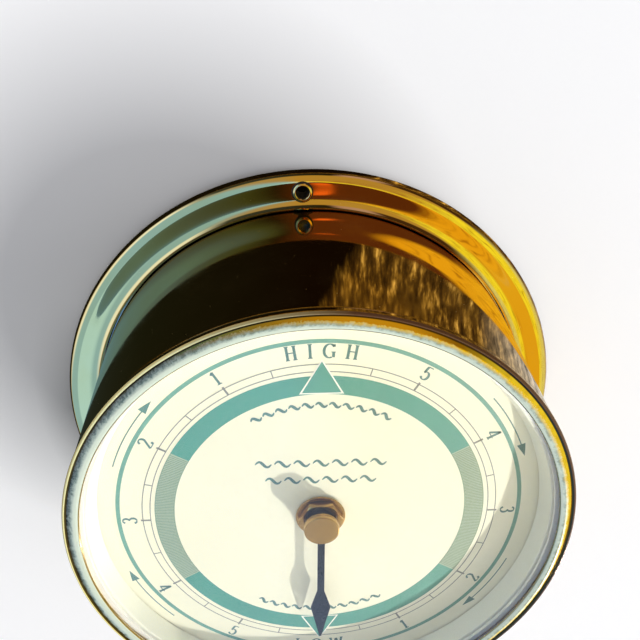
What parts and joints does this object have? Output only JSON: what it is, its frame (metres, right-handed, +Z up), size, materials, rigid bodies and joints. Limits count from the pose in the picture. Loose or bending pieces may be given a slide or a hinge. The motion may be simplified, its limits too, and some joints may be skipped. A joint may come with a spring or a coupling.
{
  "type": "wall tide clock",
  "caption": "Round brass wall tide clock: flanged drum case, screw-on glazed bezel, printed dial, single tide hand and battery quartz movement.",
  "frame": {"origin": "centre of the flange's flat back face, on the wall", "axes": "+Z up towards the dial's 12 o'clock, -Y out of the wall through the dial, +X to the right of someone reading the dial"},
  "size_m": [0.1414, 0.0628, 0.1414],
  "materials": {
    "lacquered_brass": "polished and lacquered",
    "turned_brass": "plain turned",
    "satin_silver": "satin silver",
    "cream_enamel": "cream enamel, printed",
    "clear_glass": "clear, polished",
    "black_rubber": "matte",
    "black_plastic": "moulded satin",
    "white_acetal": "moulded",
    "blued_steel": "blued steel",
    "motor_iron": "plain sheet",
    "copper_wire": "enamelled copper wire",
    "board_laminate": "solder mask",
    "cell_jacket": "printed jacket, left plain"
  },
  "bodies": {
    "case": {"case_drum": "lacquered_brass", "mounting_flange": "lacquered_brass", "dial_seat_ring": "turned_brass", "dial_plate": "cream_enamel", "reflector_ring": "satin_silver", "movement_housing": "black_plastic", "movement_cover": "black_plastic", "threaded_tube": "turned_brass", "dial_cushion": "black_rubber", "dial_washer": "turned_brass", "fixing_nut": "turned_brass", "stator": "motor_iron", "coil_core": "motor_iron", "coil_bobbin": "white_acetal", "coil_winding": "copper_wire", "circuit_board": "board_laminate", "quartz_crystal": "motor_iron", "chip_blob": "black_plastic", "battery_cell": "cell_jacket", "negative_contact": "motor_iron", "positive_contact": "motor_iron"},
    "glass_pack": {"glass": "clear_glass", "glass_gasket": "white_acetal"},
    "bezel_ring": {"bezel": "lacquered_brass"},
    "hand_pack": {"tide_wheel": "white_acetal", "tide_hand": "blued_steel", "hand_bush": "turned_brass", "cap_nut": "turned_brass"},
    "intermediate": {"intermediate_wheel": "white_acetal"},
    "centre_shaft": {"centre_arbor": "turned_brass", "clutch_spring": "motor_iron"},
    "centre_gear": {"centre_wheel": "white_acetal"},
    "third_gear": {"third_wheel": "white_acetal"},
    "fourth_gear": {"fourth_wheel": "white_acetal"},
    "fifth_gear": {"fifth_wheel": "white_acetal"},
    "rotor": {"rotor_arbor": "white_acetal", "rotor_magnet": "motor_iron"},
    "setting": {"setting_arbor": "white_acetal", "setting_knob": "black_plastic"}
  },
  "joints": [
    {"name": "glass_lift", "type": "slide", "parent": "case", "child": "glass_pack", "axis": [0, -1, 0], "range_m": [0, 0.0045]},
    {"name": "bezel_turn", "type": "hinge", "parent": "glass_pack", "child": "bezel_ring", "pos_m": [0, -0.0585, 0], "axis": [0, -1, 0], "range_deg": [0, 1080]},
    {"name": "tide_hand_turn", "type": "hinge", "parent": "case", "child": "hand_pack", "pos_m": [0, -0.0496, 0], "axis": [0, 1, 0], "continuous": true},
    {"name": "intermediate_turn", "type": "hinge", "parent": "case", "child": "intermediate", "pos_m": [-0.00485, -0.0496, 0.0028], "axis": [0, 1, 0], "continuous": true},
    {"name": "centre_arbor_turn", "type": "hinge", "parent": "case", "child": "centre_shaft", "pos_m": [0, -0.0496, 0], "axis": [0, 1, 0], "continuous": true},
    {"name": "setting_turn", "type": "hinge", "parent": "case", "child": "setting", "pos_m": [-0.01057, -0.0496, 0.0061], "axis": [0, 1, 0], "continuous": true},
    {"name": "rotor_turn", "type": "hinge", "parent": "case", "child": "rotor", "pos_m": [0.01343, -0.0496, 0.01006], "axis": [0, 1, 0], "continuous": true},
    {"name": "fifth_turn", "type": "hinge", "parent": "case", "child": "fifth_gear", "pos_m": [0.00959, -0.0496, 0.01006], "axis": [0, 1, 0], "continuous": true},
    {"name": "fourth_turn", "type": "hinge", "parent": "case", "child": "fourth_gear", "pos_m": [0.00749, -0.0496, 0.00642], "axis": [0, 1, 0], "continuous": true},
    {"name": "third_turn", "type": "hinge", "parent": "case", "child": "third_gear", "pos_m": [0.0027, -0.0496, 0.00468], "axis": [0, 1, 0], "continuous": true},
    {"name": "centre_wheel_turn", "type": "hinge", "parent": "case", "child": "centre_gear", "pos_m": [0, -0.0496, 0], "axis": [0, 1, 0], "continuous": true}
  ],
  "couplings": [
    {"joint": "glass_lift", "follows": "bezel_turn", "m_per_rad": 0.00023873},
    {"joint": "intermediate_turn", "follows": "tide_hand_turn", "ratio": -2.7},
    {"joint": "centre_arbor_turn", "follows": "tide_hand_turn", "ratio": 12.42},
    {"joint": "setting_turn", "follows": "tide_hand_turn", "ratio": 6.21},
    {"joint": "fifth_turn", "follows": "rotor_turn", "ratio": -0.2},
    {"joint": "fourth_turn", "follows": "rotor_turn", "ratio": 0.033333},
    {"joint": "third_turn", "follows": "rotor_turn", "ratio": -0.0044444},
    {"joint": "centre_wheel_turn", "follows": "rotor_turn", "ratio": 0.00055556}
  ]
}
